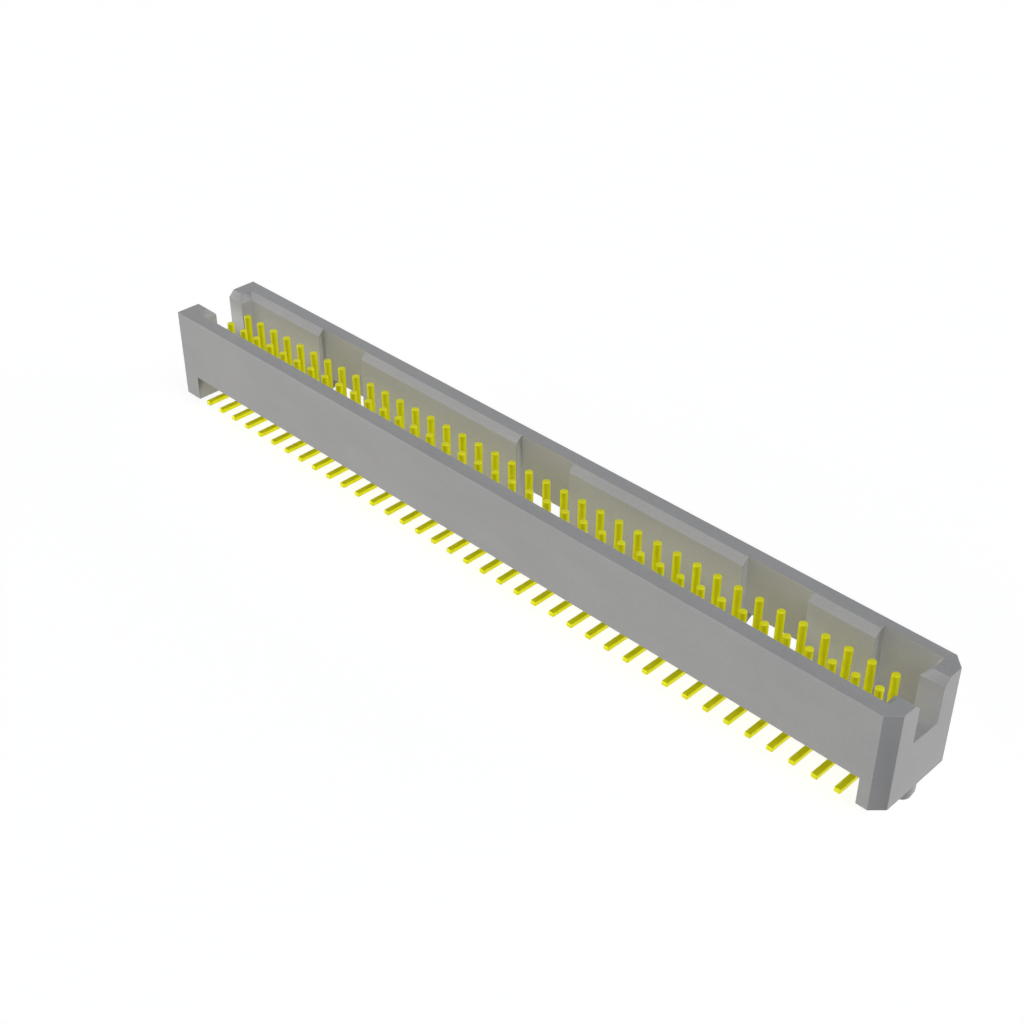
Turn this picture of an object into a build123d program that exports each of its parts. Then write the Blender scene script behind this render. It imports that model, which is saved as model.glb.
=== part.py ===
from build123d import *
import os
from math import cos, radians, sin, tan

# Shrouded, keyed pin header that joins two circuit boards. It is surface mounted: two end feet and
# two alignment pegs carry the moulded housing, and each contact ends in a formed tail on the board.
# Millimetres. X runs along the rows, the keyed wall is on the +Y side, the board's surface is Z = 0
# and the origin is midway between the two pegs, on the board's surface.

# Contact field
contacts_per_row = 38
pitch = 1.27
row_spacing = 1.27

# Outline of the housing
end_margin = 2.225            # last contact's centre line to the outer face of the end wall
housing_width = 5.715
housing_height = 5.588        # board to the rim
corner_cut = 0.635            # cut on both outer corners of the end that is marked

# Walls, floor and underside
side_wall = 1.2065
end_wall = 1.27
floor_top = 1.90              # board to the floor of the cavity
wall_underside = 1.524        # board to the lower edge of the long walls
keel_underside = 0.98         # board to the flat middle of the underside
keel_flank_angle = 32         # slope of the flanks beside the flat middle, in degrees
foot_length = 1.27            # feet under the end walls, measured along X

# Rim of the cavity
lead_in = 0.381               # 45 degree lead-in round the mouth
end_notch_width = 1.905
end_notch_floor = 3.15        # board to the floor of the notch in each end wall

# Keyways in the +Y wall
key_width = 3.82
key_depth = 0.45
outer_key_offset = 15.95      # middle of the housing to the middle of each outer keyway
middle_key_offset = 0.62
end_key_length = 2.79         # keyway in the corner, from the end wall's inner face
end_key_depth = 0.64

# Alignment pegs
peg_radius = 0.62
peg_inset = 0.63              # outer face of the end wall to the peg's centre
peg_length = 0.92             # below the board's surface
peg_tip_height = 0.40
peg_tip_radius = 0.48

# Contacts
pin_radius = 0.21
pin_top = 4.82                # board to the flat end of the pins
stem_width = 0.46             # square part that is pressed into the floor
tail_width = 0.35
tail_thickness = 0.26
tail_reach = 2.92             # middle of the housing to the end of the tail
bend_radius = 0.20            # inside of the bend between leg and tail
pin_sides = 16                # the pins repeat often, so each round one is drawn with flats
bend_facets = 4               # and so is each quarter turn from leg to tail

# Small allowances of the model
cut_margin = 1.0              # how far a cutting shape runs past the face that it opens
tiny = 0.001

# Derived places
half_length = (contacts_per_row - 1) * pitch / 2 + end_margin
half_width = housing_width / 2
cavity_half_length = half_length - end_wall
cavity_half_width = half_width - side_wall
row_offset = row_spacing / 2
key_back = cavity_half_width + key_depth
end_key_back = cavity_half_width + end_key_depth
foot_inner = half_length - foot_length
peg_offset = half_length - peg_inset
keel_half_width = half_width - (wall_underside - keel_underside) / tan(radians(keel_flank_angle))
key_flare = half_width - key_back
bend_centre_y = row_offset + tail_thickness / 2 + bend_radius
bend_centre_z = tail_thickness + bend_radius

os.makedirs("parts", exist_ok=True)


def is_mouth_edge(edge):
    """True for a rim edge round the cavity or beside an end notch, not on the outline."""
    middle = edge.center()
    inside_ends = abs(middle.X) < half_length - tiny
    inside_walls = abs(middle.Y) < cavity_half_width + tiny
    return inside_ends and inside_walls


def make_housing():
    """One moulded piece: walls, floor, feet, notches, keyways and alignment pegs."""
    with BuildPart() as housing:
        # Block with the outline of the rim, from the board to the rim
        with BuildSketch() as outline:
            Rectangle(2 * half_length, housing_width)
            marked_corners = outline.vertices().group_by(Axis.X)[-1]
            chamfer(marked_corners, length=corner_cut)
        extrude(amount=housing_height)

        # Underside between the feet: flat in the middle, with a sloping flank to each long wall
        with BuildSketch(Plane.YZ) as underside:
            with BuildLine():
                Polyline(
                    (-half_width - cut_margin, -cut_margin),
                    (-half_width - cut_margin, wall_underside),
                    (-half_width, wall_underside),
                    (-keel_half_width, keel_underside),
                    (keel_half_width, keel_underside),
                    (half_width, wall_underside),
                    (half_width + cut_margin, wall_underside),
                    (half_width + cut_margin, -cut_margin),
                    close=True,
                )
            make_face()
        extrude(amount=foot_inner, both=True, mode=Mode.SUBTRACT)

        # Cavity for the mating connector
        with BuildSketch(Plane.XY.offset(floor_top)):
            Rectangle(2 * cavity_half_length, 2 * cavity_half_width)
        extrude(amount=housing_height, mode=Mode.SUBTRACT)

        # Notch through the middle of both end walls
        with BuildSketch(Plane.XY.offset(end_notch_floor)):
            Rectangle(2 * (half_length + cut_margin), end_notch_width)
        extrude(amount=housing_height, mode=Mode.SUBTRACT)

        # Lead-in round the mouth and on the sides of the notches
        rim_faces = housing.faces().filter_by(Axis.Z).group_by(Axis.Z)[-1]
        mouth_edges = rim_faces.edges().filter_by(is_mouth_edge)
        chamfer(mouth_edges, length=lead_in)

        # Three keyways down through the floor, each with a mouth that flares to the wall's lower edge
        for key_middle in (-outer_key_offset, middle_key_offset, outer_key_offset):
            with BuildSketch(Plane.YZ.offset(key_middle)):
                with BuildLine():
                    Polyline(
                        (cavity_half_width, -cut_margin),
                        (cavity_half_width, housing_height + cut_margin),
                        (key_back, housing_height + cut_margin),
                        (key_back, wall_underside + key_flare),
                        (half_width + cut_margin, wall_underside - cut_margin),
                        (half_width + cut_margin, -cut_margin),
                        close=True,
                    )
                make_face()
            extrude(amount=key_width / 2, both=True, mode=Mode.SUBTRACT)

        # Wider keyway in the corner beside the marked end, with the end wall's lead-in carried on
        with BuildSketch(Plane.XZ.offset(-cavity_half_width)):
            with BuildLine():
                Polyline(
                    (cavity_half_length - end_key_length, floor_top),
                    (cavity_half_length - end_key_length, housing_height + cut_margin),
                    (cavity_half_length + lead_in + cut_margin, housing_height + cut_margin),
                    (cavity_half_length, housing_height - lead_in),
                    (cavity_half_length, floor_top),
                    close=True,
                )
            make_face()
        extrude(amount=-end_key_depth, mode=Mode.SUBTRACT)

        # Square holes through the floor that hold the contacts
        with BuildSketch(Plane.XY.offset(keel_underside)):
            with GridLocations(pitch, row_spacing, contacts_per_row, 2):
                Rectangle(stem_width, stem_width)
        extrude(amount=floor_top - keel_underside, mode=Mode.SUBTRACT)

        # Alignment pegs under the feet, with a conical tip
        for peg_x in (-peg_offset, peg_offset):
            with BuildSketch(Plane.XZ):
                with BuildLine():
                    Polyline(
                        (peg_x, 0),
                        (peg_x + peg_radius, 0),
                        (peg_x + peg_radius, peg_tip_height - peg_length),
                        (peg_x + peg_tip_radius, -peg_length),
                        (peg_x, -peg_length),
                        close=True,
                    )
                make_face()
            revolve(axis=Axis((peg_x, 0, 0), (0, 0, 1)))
    return housing


def bend_points(radius):
    """Points round the bend from the upright leg to the flat tail, at a radius from its centre."""
    turns = [radians(90 * step / bend_facets) for step in range(bend_facets + 1)]
    return [(bend_centre_y - radius * cos(turn), bend_centre_z - radius * sin(turn)) for turn in turns]


def make_contact_pair(position_x):
    """The two contacts at one place along the rows, one in each row."""
    with BuildPart() as pair:
        # Leg and tail in one strip, bent outward to lie flat on the board
        with BuildSketch(Plane.YZ.offset(position_x)):
            with BuildLine():
                Polyline(
                    (row_offset - tail_thickness / 2, keel_underside),
                    *bend_points(bend_radius + tail_thickness),
                    (tail_reach, 0),
                    (tail_reach, tail_thickness),
                    *reversed(bend_points(bend_radius)),
                    (row_offset + tail_thickness / 2, keel_underside),
                    close=True,
                )
            make_face()
        extrude(amount=tail_width / 2, both=True)

        # Square stem that fills its hole in the floor
        with BuildSketch(Plane.XY.offset(keel_underside)):
            with Locations((position_x, row_offset)):
                Rectangle(stem_width, stem_width)
        extrude(amount=floor_top - keel_underside)

        # Round pin with a flat end
        with BuildSketch(Plane.XY.offset(floor_top)):
            with Locations((position_x, row_offset)):
                RegularPolygon(radius=pin_radius, side_count=pin_sides)
        extrude(amount=pin_top - floor_top)

        # The contact of the other row faces the other way
        mirror(about=Plane.XZ)
    return pair


housing = make_housing()
housing.part.label = "housing"
export_step(housing.part, "parts/housing.step")

for number in range(1, contacts_per_row + 1):
    position_x = (number - (contacts_per_row + 1) / 2) * pitch
    pair = make_contact_pair(position_x)
    pair.part.label = f"contact_pair_{number:02d}"
    export_step(pair.part, f"parts/contact_pair_{number:02d}.step")
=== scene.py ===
"""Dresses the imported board-to-board pin header, and sets up its studio and its camera.

In the dataclasses below, sizes are millimetres and angles are degrees. The meshes are in metres.
X runs along the rows of contacts, the keyed wall is on the +Y side, the board's surface is Z = 0,
and the origin is midway between the alignment pegs.
"""

import logging
import math
from dataclasses import dataclass, field
from enum import Enum

import bmesh
import bpy
from mathutils import Matrix, Vector


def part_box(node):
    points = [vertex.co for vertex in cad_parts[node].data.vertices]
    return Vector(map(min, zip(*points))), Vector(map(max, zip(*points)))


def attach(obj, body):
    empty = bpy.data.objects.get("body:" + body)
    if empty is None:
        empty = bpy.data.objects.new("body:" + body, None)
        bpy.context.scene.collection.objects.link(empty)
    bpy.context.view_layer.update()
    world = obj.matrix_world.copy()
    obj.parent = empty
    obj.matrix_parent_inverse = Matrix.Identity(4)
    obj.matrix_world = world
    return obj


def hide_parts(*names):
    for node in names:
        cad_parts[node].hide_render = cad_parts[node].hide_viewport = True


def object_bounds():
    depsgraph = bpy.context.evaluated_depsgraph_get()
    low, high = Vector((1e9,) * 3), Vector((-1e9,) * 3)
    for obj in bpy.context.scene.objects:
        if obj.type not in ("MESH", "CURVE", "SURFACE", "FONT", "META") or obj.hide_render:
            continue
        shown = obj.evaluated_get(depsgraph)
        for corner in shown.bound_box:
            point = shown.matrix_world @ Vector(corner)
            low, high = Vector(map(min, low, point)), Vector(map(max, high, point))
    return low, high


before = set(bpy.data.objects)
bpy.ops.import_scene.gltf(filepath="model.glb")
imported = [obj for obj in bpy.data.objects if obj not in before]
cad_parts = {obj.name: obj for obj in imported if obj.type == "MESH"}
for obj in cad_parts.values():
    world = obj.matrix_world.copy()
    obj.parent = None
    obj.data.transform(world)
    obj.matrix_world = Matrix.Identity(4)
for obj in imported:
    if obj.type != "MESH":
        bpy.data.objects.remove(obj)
CAD_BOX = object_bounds()

MM = 0.001
QUARTER_TURN = math.radians(90)
WHITE = (1.0, 1.0, 1.0)
BODY = "root"
HOUSING_NODE = "housing"

Colour = tuple[float, float, float]
Outline = list[tuple[float, float]]
Ring = list[Vector]
Settings = dict[str, object]
Sockets = dict[int | str, object]

log = logging.getLogger("pin_header")


class Slot(Enum):
    """Names of the two material slots; nothing in the script gives a part its slot."""

    HOUSING = "housing"
    CONTACTS = "contacts"


class Side(Enum):
    """The two rows of contacts, by the side of the board that their tails point to."""

    OPEN = -1
    KEYED = 1


def placed(name: str, data: bpy.types.ID) -> bpy.types.Object:
    """Makes an object and puts it in the scene.

    Args:
        name: The object's name.
        data: Its mesh, light or camera.

    Returns:
        The new object.
    """
    made = bpy.data.objects.new(name, data)
    bpy.context.scene.collection.objects.link(made)
    return made


def heading(azimuth: float, elevation: float) -> Vector:
    """The direction from the part towards a lamp or the camera.

    Args:
        azimuth: How far round the part, from the open side towards the marked end, in degrees.
        elevation: How far over the board, in degrees.

    Returns:
        The direction, with a length of one.
    """
    turn, rise = math.radians(azimuth), math.radians(elevation)
    level = math.cos(rise)
    return Vector((math.sin(turn) * level, -math.cos(turn) * level, math.sin(rise)))


def quarter_steps(count: int) -> list[float]:
    """Angles from zero to a quarter turn in a number of equal steps, in radians."""
    return [QUARTER_TURN * step / count for step in range(count + 1)]


class Signal:
    """A number on a shader socket, which takes part in Python expressions."""

    def __init__(self, sheet: "NodeSheet", socket: bpy.types.NodeSocket) -> None:
        """Keeps the socket and the sheet that it is on.

        Args:
            sheet: The node sheet that new nodes go on.
            socket: The output socket that carries the number.
        """
        self.sheet = sheet
        self.socket = socket

    def _maths(
        self, operation: str, first: "Signal | float", second: "Signal | float"
    ) -> "Signal":
        """Adds one Math node.

        Args:
            operation: The node's operation.
            first: The first value.
            second: The second value.

        Returns:
            The node's result.
        """
        return self.sheet.number("ShaderNodeMath", {"operation": operation}, {0: first, 1: second})

    def __add__(self, other: "Signal | float") -> "Signal":
        """Sum of two values."""
        return self._maths("ADD", self, other)

    def __radd__(self, other: float) -> "Signal":
        """Sum of a plain number and a value."""
        return self._maths("ADD", other, self)

    def __sub__(self, other: "Signal | float") -> "Signal":
        """Difference of two values."""
        return self._maths("SUBTRACT", self, other)

    def __rsub__(self, other: float) -> "Signal":
        """Difference of a plain number and a value."""
        return self._maths("SUBTRACT", other, self)

    def __mul__(self, other: "Signal | float") -> "Signal":
        """Product of two values."""
        return self._maths("MULTIPLY", self, other)

    def __rmul__(self, other: float) -> "Signal":
        """Product of a plain number and a value."""
        return self._maths("MULTIPLY", other, self)

    def __abs__(self) -> "Signal":
        """The value without its sign."""
        return self._maths("ABSOLUTE", self, 0.0)

    def at_most(self, limit: float) -> "Signal":
        """The smaller of the value and a limit."""
        return self._maths("MINIMUM", self, limit)

    def under(self, limit: float) -> "Signal":
        """One where the value is under a limit, and zero elsewhere."""
        return self._maths("LESS_THAN", self, limit)

    def over(self, limit: float) -> "Signal":
        """One where the value is over a limit, and zero elsewhere."""
        return self._maths("GREATER_THAN", self, limit)


class NodeSheet:
    """The node tree of one material or world, cleared and ready for new nodes."""

    # The colour sockets of a Mix node go by number, as its other sockets have the same names
    mix_first = 6
    mix_second = 7
    mix_result = 2

    def __init__(self, owner: bpy.types.Material | bpy.types.World) -> None:
        """Clears the owner's node tree.

        Args:
            owner: The material or world that is given new nodes.
        """
        owner.use_nodes = True
        self.tree = owner.node_tree
        self.tree.nodes.clear()

    def node(
        self, kind: str, settings: Settings | None = None, sockets: Sockets | None = None
    ) -> bpy.types.Node:
        """Adds a node, sets its settings and then its sockets.

        Args:
            kind: The node's type.
            settings: Its own settings, such as an operation.
            sockets: Values or links of its input sockets, by name or number.

        Returns:
            The new node.
        """
        made = self.tree.nodes.new(kind)
        for name, value in (settings or {}).items():
            setattr(made, name, value)
        for name, value in (sockets or {}).items():
            if isinstance(value, Signal):
                value = value.socket
            if isinstance(value, bpy.types.NodeSocket):
                self.tree.links.new(value, made.inputs[name])
            else:
                made.inputs[name].default_value = value
        return made

    def number(
        self, kind: str, settings: Settings | None, sockets: Sockets, output: int | str = 0
    ) -> Signal:
        """Adds a node and wraps one of its outputs as a number.

        Args:
            kind: The node's type.
            settings: Its own settings.
            sockets: Values or links of its input sockets.
            output: The output to wrap.

        Returns:
            The output as a number for expressions.
        """
        return Signal(self, self.node(kind, settings, sockets).outputs[output])

    def places(self) -> bpy.types.NodeSocket:
        """Place on the object in millimetres."""
        metres = self.node("ShaderNodeTexCoord").outputs["Object"]
        return self.stretched(metres, (1 / MM, 1 / MM, 1 / MM))

    def height(self, place: bpy.types.NodeSocket) -> Signal:
        """The Z of a place."""
        return self.number("ShaderNodeSeparateXYZ", None, {0: place}, "Z")

    def stretched(
        self, place: bpy.types.NodeSocket, factors: tuple[float, float, float]
    ) -> bpy.types.NodeSocket:
        """A place multiplied by one factor along each axis.

        Args:
            place: The vector to scale.
            factors: The factors along X, Y and Z.

        Returns:
            The scaled vector.
        """
        sockets = {0: place, 1: factors}
        return self.node("ShaderNodeVectorMath", {"operation": "MULTIPLY"}, sockets).outputs[0]

    def noise(self, place: bpy.types.NodeSocket, size: float, detail: float) -> Signal:
        """Noise between zero and one.

        Args:
            place: Where it is read, in millimetres.
            size: The size of its grains, in millimetres.
            detail: How many finer layers it has.

        Returns:
            The noise.
        """
        sockets = {"Vector": place, "Scale": 1 / size, "Detail": detail}
        return self.number("ShaderNodeTexNoise", None, sockets, "Fac")

    def mixed(self, factor: Signal, first: Colour, second: Colour) -> bpy.types.NodeSocket:
        """A colour between two colours.

        Args:
            factor: How far it is towards the second colour.
            first: The colour at factor zero.
            second: The colour at factor one.

        Returns:
            The mixed colour.
        """
        sockets = {"Factor": factor, self.mix_first: (*first, 1), self.mix_second: (*second, 1)}
        mix = self.node("ShaderNodeMix", {"data_type": "RGBA"}, sockets)
        return mix.outputs[self.mix_result]

    def bump(self, relief: Signal, depth: float) -> bpy.types.NodeSocket:
        """A normal disturbed by a relief.

        Args:
            relief: The relief, between zero and one.
            depth: The real height of one, in millimetres.

        Returns:
            The normal.
        """
        sockets = {"Height": relief, "Distance": depth * MM, "Strength": 1.0}
        return self.node("ShaderNodeBump", None, sockets).outputs["Normal"]

    def surface(self, shader: bpy.types.Node) -> None:
        """Ends a material in a shader."""
        self.node("ShaderNodeOutputMaterial", None, {"Surface": shader.outputs[0]})

    def seen_directly(self) -> Signal:
        """One for rays from the camera, off gloss or through glass, and zero for light."""
        path = self.node("ShaderNodeLightPath")
        camera = Signal(self, path.outputs["Is Camera Ray"])
        glossy = Signal(self, path.outputs["Is Glossy Ray"])
        through = Signal(self, path.outputs["Is Transmission Ray"])
        return (camera + glossy + through).at_most(1.0)


class ShapeSheet(NodeSheet):
    """The node tree of a Geometry Nodes modifier, which takes a shape and gives it back."""

    def __init__(self, name: str) -> None:
        """Makes the tree with one shape going in and one coming out.

        Args:
            name: The tree's name.
        """
        self.tree = bpy.data.node_groups.new(name, "GeometryNodeTree")
        for way in ("INPUT", "OUTPUT"):
            self.tree.interface.new_socket(
                "Geometry", in_out=way, socket_type="NodeSocketGeometry"
            )

    def edge_value(
        self, shape: bpy.types.Node, name: str, kind: str, value: Signal
    ) -> bpy.types.Node:
        """Stores a value on every edge.

        Args:
            shape: The node that the shape comes from.
            name: The value's name on the mesh.
            kind: The value's type.
            value: The value.

        Returns:
            The node that gives the shape on.
        """
        settings = {"data_type": kind, "domain": "EDGE"}
        sockets = {"Geometry": shape.outputs[0], "Name": name, "Value": value}
        return self.node("GeometryNodeStoreNamedAttribute", settings, sockets)


@dataclass(frozen=True)
class MouldedPlastic:
    """Grey glass-filled plastic from a mould with finely eroded faces."""

    name: str = "moulded_plastic"
    pale: Colour = (0.385, 0.385, 0.385)
    deep: Colour = (0.225, 0.225, 0.227)
    refraction: float = 1.5
    least_roughness: float = 0.40
    roughness_range: float = 0.28

    # Cloudy marks of the flow: size, factor along the rows, finer layers, share of the shade
    flow: float = 1.6
    flow_along: float = 0.35
    flow_detail: float = 3
    flow_shade: float = 0.3

    # Glass flecks that lie along the flow, also with their share of the relief
    fleck: float = 0.05
    fleck_along: float = 0.3
    fleck_detail: float = 1
    fleck_shade: float = 0.35
    fleck_relief: float = 0.25

    # Eroded grain of the mould, also with the depth of the whole relief
    grain: float = 0.07
    grain_detail: float = 3
    grain_shade: float = 0.35
    grain_relief: float = 0.75
    grain_height: float = 0.015

    def make(self) -> bpy.types.Material:
        """Builds the material.

        Returns:
            The finished material.
        """
        made = bpy.data.materials.new(self.name)
        sheet = NodeSheet(made)
        place = sheet.places()
        flow_place = sheet.stretched(place, (self.flow_along, 1, 1))
        flow = sheet.noise(flow_place, self.flow, self.flow_detail)
        fleck_place = sheet.stretched(place, (self.fleck_along, 1, 1))
        flecks = sheet.noise(fleck_place, self.fleck, self.fleck_detail)
        grain = sheet.noise(place, self.grain, self.grain_detail)
        shade = self.flow_shade * flow + self.fleck_shade * flecks + self.grain_shade * grain
        relief = self.grain_relief * grain + self.fleck_relief * flecks
        sockets = {
            "Base Color": sheet.mixed(shade, self.deep, self.pale),
            "Roughness": self.least_roughness + self.roughness_range * grain,
            "Normal": sheet.bump(relief, self.grain_height),
            "IOR": self.refraction,
        }
        sheet.surface(sheet.node("ShaderNodeBsdfPrincipled", None, sockets))
        return made


@dataclass(frozen=True)
class YellowPlating:
    """Yellow metal plating over drawn wire, with drawing lines along the pins and the tails, and
    painted shade that makes the pins duller than the tails.
    """

    name: str = "yellow_plating"
    bright: Colour = (0.88, 0.87, 0.015)
    dull: Colour = (0.66, 0.65, 0.008)
    metallic: float = 0.40
    specular: float = 0.12
    least_roughness: float = 0.22
    roughness_range: float = 0.24

    # Height over the board under which a contact is its tail, and the painted shade that makes the
    # pins above it duller
    tail_height: float = 0.45
    pin_painted_shade: float = 0.33

    # Drawing lines: width, factor along them, finer layers, shares and depth
    line: float = 0.025
    line_along: float = 0.02
    line_detail: float = 2
    line_shade: float = 0.4
    line_roughness: float = 0.5
    line_height: float = 0.005

    # Cloudy patches of the plating: size, finer layers and shares
    cloud: float = 0.6
    cloud_detail: float = 3
    cloud_shade: float = 0.6
    cloud_roughness: float = 0.5

    def make(self) -> bpy.types.Material:
        """Builds the material.

        Returns:
            The finished material.
        """
        made = bpy.data.materials.new(self.name)
        sheet = NodeSheet(made)
        place = sheet.places()
        on_tail = sheet.height(place).under(self.tail_height)
        pin_place = sheet.stretched(place, (1, 1, self.line_along))
        along_pin = sheet.noise(pin_place, self.line, self.line_detail)
        tail_place = sheet.stretched(place, (1, self.line_along, 1))
        along_tail = sheet.noise(tail_place, self.line, self.line_detail)
        lines = on_tail * along_tail + (1 - on_tail) * along_pin
        cloud = sheet.noise(place, self.cloud, self.cloud_detail)
        marks = self.cloud_shade * cloud + self.line_shade * lines
        # Painted shade: the pins above the tails are made duller, so they read darker than the tails
        shade = marks - self.pin_painted_shade * (1 - on_tail)
        wear = self.cloud_roughness * cloud + self.line_roughness * lines
        sockets = {
            "Base Color": sheet.mixed(shade, self.dull, self.bright),
            "Metallic": self.metallic,
            "Roughness": self.least_roughness + self.roughness_range * wear,
            "Specular IOR Level": self.specular,
            "Normal": sheet.bump(lines, self.line_height),
        }
        sheet.surface(sheet.node("ShaderNodeBsdfPrincipled", None, sockets))
        return made


@dataclass(frozen=True)
class PaleFloor:
    """Pale matt floor that shows white to the camera and keeps a light shadow."""

    name: str = "pale_floor"
    colour: Colour = (0.60, 0.60, 0.60)
    white_share: float = 0.35
    white: float = 2.10

    def make(self) -> bpy.types.Material:
        """Builds the material.

        Returns:
            The finished material.
        """
        made = bpy.data.materials.new(self.name)
        sheet = NodeSheet(made)
        matt = sheet.node("ShaderNodeBsdfDiffuse", None, {"Color": (*self.colour, 1)})
        glow = {"Color": (*WHITE, 1), "Strength": self.white}
        white = sheet.node("ShaderNodeEmission", None, glow)
        share = self.white_share * sheet.seen_directly()
        sockets = {0: share, 1: matt.outputs[0], 2: white.outputs[0]}
        sheet.surface(sheet.node("ShaderNodeMixShader", None, sockets))
        return made


@dataclass
class Housing:
    """The moulded housing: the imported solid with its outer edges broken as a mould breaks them."""

    edge_break: float = 0.03
    edge_steps: int = 2
    finish: MouldedPlastic = field(default_factory=MouldedPlastic)

    # Points nearer than this are one point, and faces that bend less than this are one face
    weld: float = 0.0001
    flat_angle: float = 0.5

    # Edges that bend more than this show, and nearer than this to the board none is broken
    sharp_angle: float = 18.0
    board_level: float = 0.01

    def edge_marks(self) -> bpy.types.NodeTree:
        """Marks the outer edges to be broken, and the other edges that show as sharp.

        The edges at the board's surface stay sharp, because the pegs come within 0.01 mm of the
        housing's outer faces there.

        Returns:
            The node tree of the modifier that sets the marks.
        """
        sheet = ShapeSheet("edge_marks")
        bend = sheet.node("GeometryNodeInputMeshEdgeAngle")
        shows = math.radians(self.sharp_angle)
        outer = Signal(sheet, bend.outputs["Signed Angle"]).over(shows)
        either = Signal(sheet, bend.outputs["Unsigned Angle"]).over(shows)
        height = sheet.height(sheet.node("GeometryNodeInputPosition").outputs[0])
        broken = outer * abs(height).over(self.board_level * MM)
        marked = sheet.node("NodeGroupInput")
        marked = sheet.edge_value(marked, "bevel_weight_edge", "FLOAT", broken)
        marked = sheet.edge_value(marked, "sharp_edge", "BOOLEAN", either - broken)
        sheet.node("NodeGroupOutput", None, {0: marked.outputs[0]})
        return sheet.tree

    def break_edges(self, solid: bpy.types.Object) -> None:
        """Joins the solid's faces, clears their inner lines and rounds the outer edges.

        Args:
            solid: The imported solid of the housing.
        """
        weld = solid.modifiers.new("weld", "WELD")
        weld.merge_threshold = self.weld * MM
        flats = solid.modifiers.new("flats", "DECIMATE")
        flats.decimate_type = "DISSOLVE"
        flats.angle_limit = math.radians(self.flat_angle)
        marks = solid.modifiers.new("marks", "NODES")
        marks.node_group = self.edge_marks()
        bevel = solid.modifiers.new("edges", "BEVEL")
        bevel.limit_method = "WEIGHT"
        bevel.width = self.edge_break * MM
        bevel.use_clamp_overlap = False
        bevel.segments = self.edge_steps
        bevel.harden_normals = True
        normals = solid.modifiers.new("normals", "WEIGHTED_NORMAL")
        normals.keep_sharp = True

    def dress(self) -> bpy.types.Object:
        """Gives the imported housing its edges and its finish.

        Returns:
            The housing's object.
        """
        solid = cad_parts[HOUSING_NODE]
        for face in solid.data.polygons:
            face.use_smooth = True
        self.break_edges(solid)
        solid.data.materials.clear()
        solid.data.materials.append(self.finish.make())
        return solid


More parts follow.
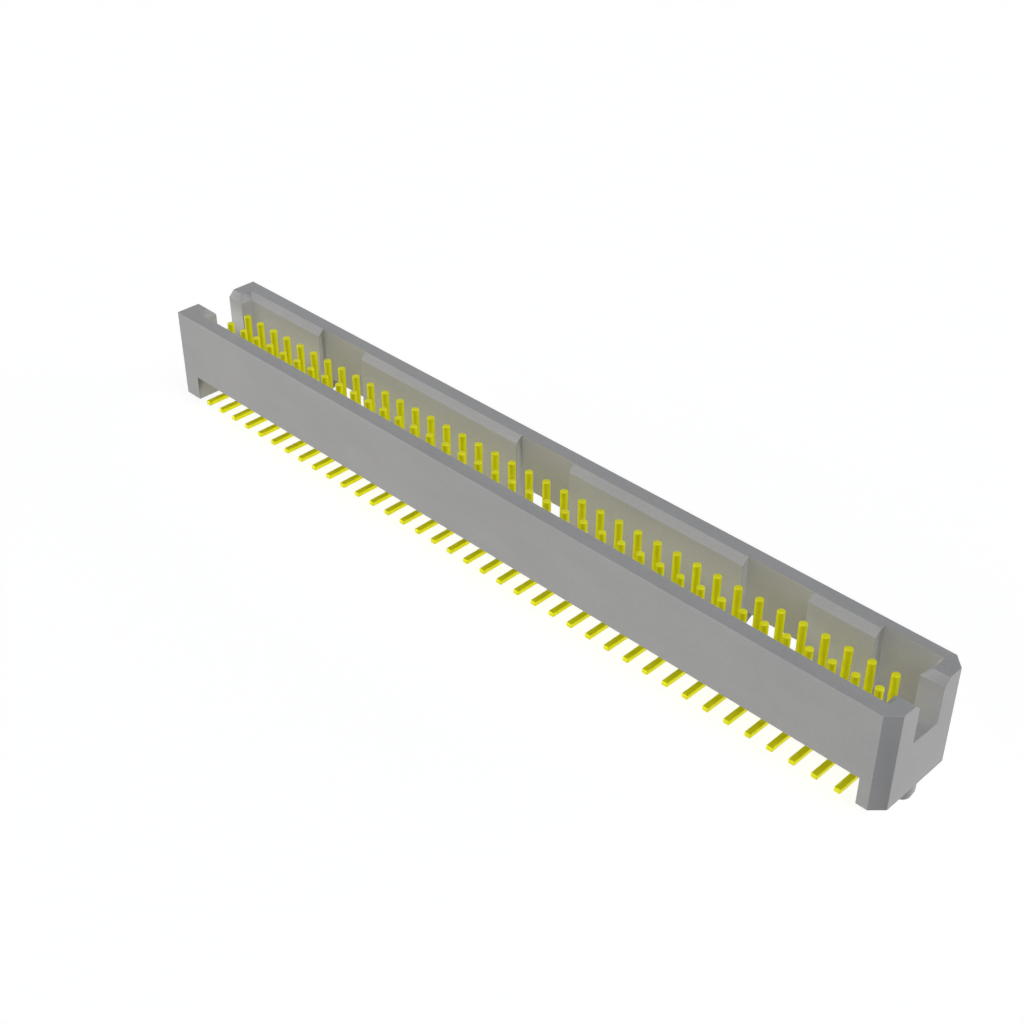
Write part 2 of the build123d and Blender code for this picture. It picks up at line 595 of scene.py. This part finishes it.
@dataclass
class Contacts:
    """The plated contacts: round pin, square stem in the floor, leg, bend and flat tail."""

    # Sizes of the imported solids
    pin_radius: float = 0.21
    floor_top: float = 1.90
    keel_underside: float = 0.98
    row_offset: float = 0.635
    stem_width: float = 0.46
    tail_width: float = 0.35
    tail_thickness: float = 0.26
    bend_radius: float = 0.20

    # Radii of the broken ends and of the edges along the strip and the stem
    tip_break: float = 0.025
    coined_edge: float = 0.035
    stem_edge: float = 0.02

    # Points round a section, steps round the curves, and the bend from which an edge is sharp
    ring_points: int = 32
    bend_steps: int = 10
    tip_steps: int = 3
    sharp_angle: float = 40.0

    finish: YellowPlating = field(default_factory=YellowPlating)

    def section(self, width: float, depth: float, corner: float) -> Outline:
        """A rounded rectangle, or a circle where the corner is half the width.

        Args:
            width: Its size along the rows.
            depth: Its size across the strip.
            corner: The radius of its corners.

        Returns:
            Points round it, with the same number for every section.
        """
        per_corner = self.ring_points // 4
        points = []
        for quarter, (side_x, side_y) in enumerate([(1, 1), (-1, 1), (-1, -1), (1, -1)]):
            for step in range(per_corner):
                angle = QUARTER_TURN * (quarter + (step + 0.5) / per_corner)
                across = side_x * (width / 2 - corner) + corner * math.cos(angle)
                through = side_y * (depth / 2 - corner) + corner * math.sin(angle)
                points.append((across, through))
        return points

    def ring(self, outline: Outline, x: float, y: float, z: float, turn: float = 0.0) -> Ring:
        """A section set across the contact's path.

        Args:
            outline: The points of the section.
            x: Place along the rows.
            y: Distance from the middle of the housing.
            z: Height over the board.
            turn: How far the path has turned from upright to flat, in radians.

        Returns:
            The ring's points in millimetres, on the keyed side.
        """
        return [
            Vector((x + across, y + through * math.cos(turn), z + through * math.sin(turn)))
            for across, through in outline
        ]

    def pin_rings(self, x: float, pin_top: float) -> list[Ring]:
        """The round pin, from its broken end to the floor of the cavity.

        Args:
            x: Place along the rows.
            pin_top: Height of the pin's flat end.

        Returns:
            The rings in order.
        """
        made = []
        shoulder = pin_top - self.tip_break
        for angle in quarter_steps(self.tip_steps):
            radius = self.pin_radius - self.tip_break * (1 - math.sin(angle))
            outline = self.section(2 * radius, 2 * radius, radius)
            height = shoulder + self.tip_break * math.cos(angle)
            made.append(self.ring(outline, x, self.row_offset, height))
        pin = self.section(2 * self.pin_radius, 2 * self.pin_radius, self.pin_radius)
        made.append(self.ring(pin, x, self.row_offset, self.floor_top))
        return made

    def stem_rings(self, x: float) -> list[Ring]:
        """The square stem in the floor.

        Args:
            x: Place along the rows.

        Returns:
            The rings in order.
        """
        stem = self.section(self.stem_width, self.stem_width, self.stem_edge)
        heights = (self.floor_top, self.keel_underside)
        return [self.ring(stem, x, self.row_offset, height) for height in heights]

    def bend_rings(self, x: float) -> list[Ring]:
        """The leg under the floor and the bend onto the board.

        Args:
            x: Place along the rows.

        Returns:
            The rings in order.
        """
        strip = self.section(self.tail_width, self.tail_thickness, self.coined_edge)
        made = [self.ring(strip, x, self.row_offset, self.keel_underside)]
        middle_radius = self.bend_radius + self.tail_thickness / 2
        centre_y = self.row_offset + middle_radius
        centre_z = self.tail_thickness / 2 + middle_radius
        for turn in quarter_steps(self.bend_steps):
            y = centre_y - middle_radius * math.cos(turn)
            z = centre_z - middle_radius * math.sin(turn)
            made.append(self.ring(strip, x, y, z, turn))
        return made

    def end_rings(self, x: float, tail_reach: float) -> list[Ring]:
        """The broken end of the flat tail.

        Args:
            x: Place along the rows.
            tail_reach: Distance from the middle of the housing to the tail's end.

        Returns:
            The rings in order.
        """
        made = []
        for angle in quarter_steps(self.tip_steps):
            inset = self.tip_break * (1 - math.cos(angle))
            width = self.tail_width - 2 * inset
            thickness = self.tail_thickness - 2 * inset
            outline = self.section(width, thickness, self.coined_edge - inset)
            end = tail_reach - self.tip_break * (1 - math.sin(angle))
            made.append(self.ring(outline, x, end, self.tail_thickness / 2, QUARTER_TURN))
        return made

    @staticmethod
    def skin(mesh: bmesh.types.BMesh, rings: list[Ring], side: Side) -> None:
        """Closes a row of rings into one skin on one side of the housing.

        Args:
            mesh: The mesh that gets the skin.
            rings: The rings, on the keyed side, in millimetres.
            side: The side that the contact's tail points to.
        """
        way = side.value
        rows = [
            [mesh.verts.new((point.x * MM, point.y * way * MM, point.z * MM)) for point in ring]
            for ring in rings
        ]
        count = len(rows[0])
        for upper, lower in zip(rows, rows[1:]):
            for here in range(count):
                there = (here + 1) % count
                mesh.faces.new((upper[here], lower[here], lower[there], upper[there]))
        mesh.faces.new(rows[0])
        mesh.faces.new(list(reversed(rows[-1])))

    def build_pair(self, node: str, material: bpy.types.Material) -> bpy.types.Object:
        """Builds the two contacts at one place along the rows.

        Args:
            node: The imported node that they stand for.
            material: The plating.

        Returns:
            The finished object.
        """
        low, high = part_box(node)
        x = (low.x + high.x) / 2 / MM
        rings = [
            *self.pin_rings(x, high.z / MM),
            *self.stem_rings(x),
            *self.bend_rings(x),
            *self.end_rings(x, high.y / MM),
        ]
        mesh = bmesh.new()
        for side in Side:
            self.skin(mesh, rings, side)
        bmesh.ops.recalc_face_normals(mesh, faces=mesh.faces)
        data = bpy.data.meshes.new(f"{node}_formed")
        mesh.to_mesh(data)
        mesh.free()
        data.shade_smooth()
        data.set_sharp_from_angle(angle=math.radians(self.sharp_angle))
        data.materials.append(material)
        piece = placed(f"{node}_formed", data)
        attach(piece, BODY)
        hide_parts(node)
        return piece

    def build(self) -> list[bpy.types.Object]:
        """Builds every pair of contacts in the frame.

        Returns:
            The objects in order along the rows.
        """
        material = self.finish.make()
        nodes = sorted(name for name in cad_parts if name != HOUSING_NODE)
        return [self.build_pair(node, material) for node in nodes]


@dataclass(frozen=True)
class Lamp:
    """A soft lamp so far away that it lights the whole part evenly.

    Part of its light is a fill that casts no shadow, as in the picture, where the narrow cavity
    is as light as the outside. The rest casts the shadow on the floor.
    """

    name: str
    azimuth: float
    elevation: float
    strength: float
    softness: float
    colour: Colour
    fill_share: float = 0.75

    def place(self) -> None:
        """Hangs both parts of the lamp."""
        self.hang(self.name, self.strength * (1 - self.fill_share), True)
        self.hang(f"{self.name}_fill", self.strength * self.fill_share, False)

    def hang(self, name: str, strength: float, shadow: bool) -> None:
        """Hangs one part of the lamp.

        Args:
            name: The part's name.
            strength: The part's strength.
            shadow: True where it casts a shadow.
        """
        light = bpy.data.lights.new(name, "SUN")
        light.energy = strength
        light.use_shadow = shadow
        light.angle = math.radians(self.softness)
        light.color = self.colour
        away = -heading(self.azimuth, self.elevation)
        lamp = placed(name, light)
        lamp.rotation_mode = "QUATERNION"
        lamp.rotation_quaternion = away.to_track_quat("-Z", "Y")


@dataclass
class Studio:
    """Pale floor, even sky and three soft lamps."""

    floor_half: float = 1500.0
    floor_gap: float = 0.01
    floor_finish: PaleFloor = field(default_factory=PaleFloor)
    sky: float = 0.12
    sky_colour: Colour = (0.97, 0.995, 1.035)
    sky_seen: float = 1.0
    lamps: tuple[Lamp, ...] = (
        Lamp(
            name="front_lamp",
            azimuth=-45,
            elevation=6,
            strength=2.70,
            softness=40,
            colour=(1.035, 1.005, 0.96),
        ),
        Lamp(
            name="back_lamp",
            azimuth=135,
            elevation=9,
            strength=2.03,
            softness=30,
            colour=(1.04, 1.0, 0.94),
        ),
        Lamp(
            name="end_lamp",
            azimuth=72,
            elevation=50,
            strength=1.40,
            softness=40,
            colour=(0.95, 0.985, 1.06),
            fill_share=0.6,
        ),
    )

    def lay_floor(self, height: float) -> None:
        """Lays the floor under the part.

        Args:
            height: Height of the floor in metres.
        """
        mesh = bmesh.new()
        bmesh.ops.create_grid(mesh, x_segments=1, y_segments=1, size=self.floor_half * MM)
        data = bpy.data.meshes.new("floor")
        mesh.to_mesh(data)
        mesh.free()
        data.materials.append(self.floor_finish.make())
        floor = placed("floor", data)
        floor.location.z = height

    def hang_sky(self) -> None:
        """Makes a world that lights evenly and shows white."""
        world = bpy.data.worlds.new("studio")
        bpy.context.scene.world = world
        sheet = NodeSheet(world)
        seen = sheet.seen_directly()
        sockets = {
            "Color": sheet.mixed(seen, self.sky_colour, WHITE),
            "Strength": self.sky + (self.sky_seen - self.sky) * seen,
        }
        backdrop = sheet.node("ShaderNodeBackground", None, sockets)
        sheet.node("ShaderNodeOutputWorld", None, {"Surface": backdrop.outputs[0]})

    def build(self) -> None:
        """Builds the floor, the sky and the lamps."""
        self.lay_floor(CAD_BOX[0].z - self.floor_gap * MM)
        self.hang_sky()
        for lamp in self.lamps:
            lamp.place()


@dataclass
class PhotoCamera:
    """The camera that took the photograph."""

    place: tuple[float, float, float] = (49.85068, -49.95243, 52.16228)
    azimuth: float = 44.918
    elevation: float = 35.305
    roll: float = 0.049
    focal_pixels: float = 1615.83
    frame_pixels: int = 1024
    shift_pixels: float = 0.5
    sensor: float = 36.0
    nearest: float = 1.0
    farthest: float = 10000.0

    def build(self) -> bpy.types.Object:
        """Sets up the camera.

        Returns:
            The camera's object.
        """
        data = bpy.data.cameras.new("camera")
        data.sensor_width = self.sensor
        data.lens = self.focal_pixels * self.sensor / self.frame_pixels
        data.shift_x = -self.shift_pixels / self.frame_pixels
        data.shift_y = self.shift_pixels / self.frame_pixels
        data.clip_start = self.nearest * MM
        data.clip_end = self.farthest * MM
        away = -heading(self.azimuth, self.elevation)
        level = away.to_track_quat("-Z", "Y").to_matrix().to_4x4()
        tilt = Matrix.Rotation(math.radians(self.roll), 4, "Z")
        camera = placed("camera", data)
        camera.matrix_world = Matrix.Translation(Vector(self.place) * MM) @ level @ tilt
        bpy.context.scene.camera = camera
        return camera


def main() -> None:
    """Builds and dresses the part, the studio and the camera."""
    logging.basicConfig(level=logging.INFO, format="%(name)s: %(message)s")
    bpy.context.scene.view_settings.view_transform = "Standard"
    housing = Housing().dress()
    log.info("dressed %s", housing.name)
    for pair in Contacts().build():
        log.info("built %s with %d faces", pair.name, len(pair.data.polygons))
    Studio().build()
    log.info("built the studio")
    camera = PhotoCamera().build()
    log.info("placed the %s", camera.name)


if __name__ == "__main__":
    main()
